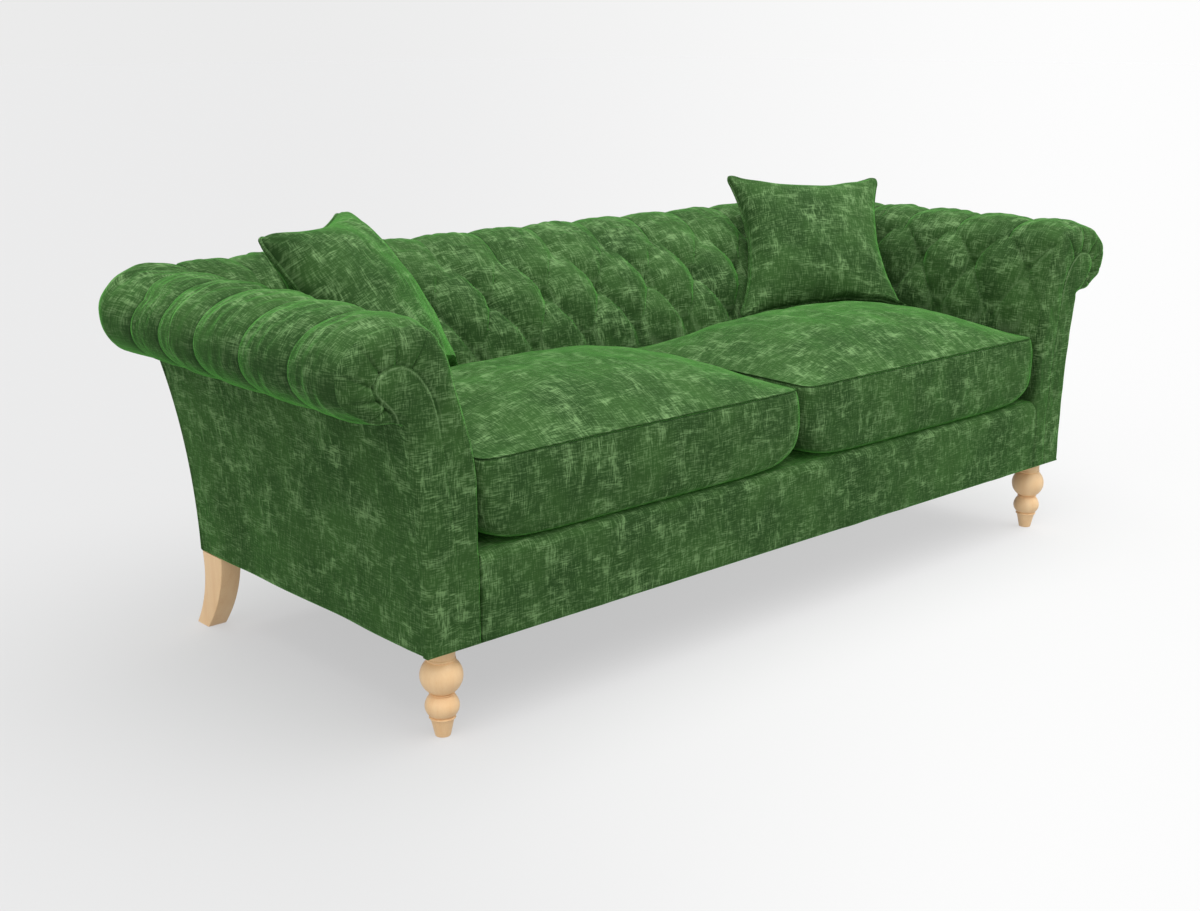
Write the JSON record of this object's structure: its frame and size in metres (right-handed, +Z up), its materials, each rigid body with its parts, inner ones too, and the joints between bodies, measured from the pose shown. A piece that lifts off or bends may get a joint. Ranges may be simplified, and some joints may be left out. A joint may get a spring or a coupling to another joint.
{
  "type": "sofa",
  "caption": "Chesterfield sofa in slubby green velvet, with tufted scroll arms and back, loose seat and scatter cushions, turned front legs and swept back legs.",
  "frame": {"origin": "on the floor under the middle of the overall width and depth", "axes": "+X along the sofa to the sitter's left, which is the viewer's right, +Y to the back, +Z up"},
  "size_m": [2.2128, 0.8958, 0.8352],
  "materials": {
    "velvet": "slubby velvet",
    "pale_wood": "satin",
    "timber": "sawn",
    "webbing": "woven",
    "deck_cloth": "woven",
    "black_cloth": "non-woven",
    "zinc_steel": "zinc plated"
  },
  "bodies": {
    "sofa": {"left_front_leg_block": "timber", "right_front_leg_block": "timber", "left_back_leg_block": "timber", "right_back_leg_block": "timber", "front_rail": "timber", "back_rail": "timber", "left_side_rail": "timber", "right_side_rail": "timber", "rear_seat_rail": "timber", "centre_seat_rail": "timber", "left_arm_front_post": "timber", "right_arm_front_post": "timber", "left_back_corner_post": "timber", "right_back_corner_post": "timber", "left_arm_top_board": "timber", "right_arm_top_board": "timber", "back_top_board": "timber", "left_arm_tack_rail": "timber", "right_arm_tack_rail": "timber", "back_tack_rail": "timber", "left_back_upright": "timber", "right_back_upright": "timber", "seat_webbing": "webbing", "left_arm_webbing": "webbing", "right_arm_webbing": "webbing", "back_webbing": "webbing", "seat_deck": "deck_cloth", "bottom_cloth": "black_cloth", "left_outside_arm": "velvet", "right_outside_arm": "velvet", "outside_back": "velvet", "left_arm_facing": "velvet", "right_arm_facing": "velvet", "front_border": "velvet", "left_arm_pad": "velvet", "right_arm_pad": "velvet", "back_pad": "velvet", "left_front_leg": "pale_wood", "right_front_leg": "pale_wood", "left_back_leg": "pale_wood", "right_back_leg": "pale_wood", "left_front_leg_bolt": "zinc_steel", "right_front_leg_bolt": "zinc_steel", "left_back_leg_bolt": "zinc_steel", "right_back_leg_bolt": "zinc_steel"},
    "left_seat": {"left_seat_cushion": "velvet"},
    "right_seat": {"right_seat_cushion": "velvet"},
    "left_scatter": {"left_scatter_cushion": "velvet"},
    "right_scatter": {"right_scatter_cushion": "velvet"}
  },
  "joints": [
    {"name": "left_seat_lift", "type": "slide", "parent": "sofa", "child": "left_seat", "axis": [0, -0.5, 0.866], "range_m": [0, 0.4]},
    {"name": "right_seat_lift", "type": "slide", "parent": "sofa", "child": "right_seat", "axis": [0, -0.5, 0.866], "range_m": [0, 0.4]},
    {"name": "left_scatter_lift", "type": "slide", "parent": "left_seat", "child": "left_scatter", "axis": [0.3999, -0.5299, 0.7478], "range_m": [0, 0.35]},
    {"name": "right_scatter_lift", "type": "slide", "parent": "right_seat", "child": "right_scatter", "axis": [-0.3001, -0.5002, 0.8123], "range_m": [0, 0.35]}
  ]
}
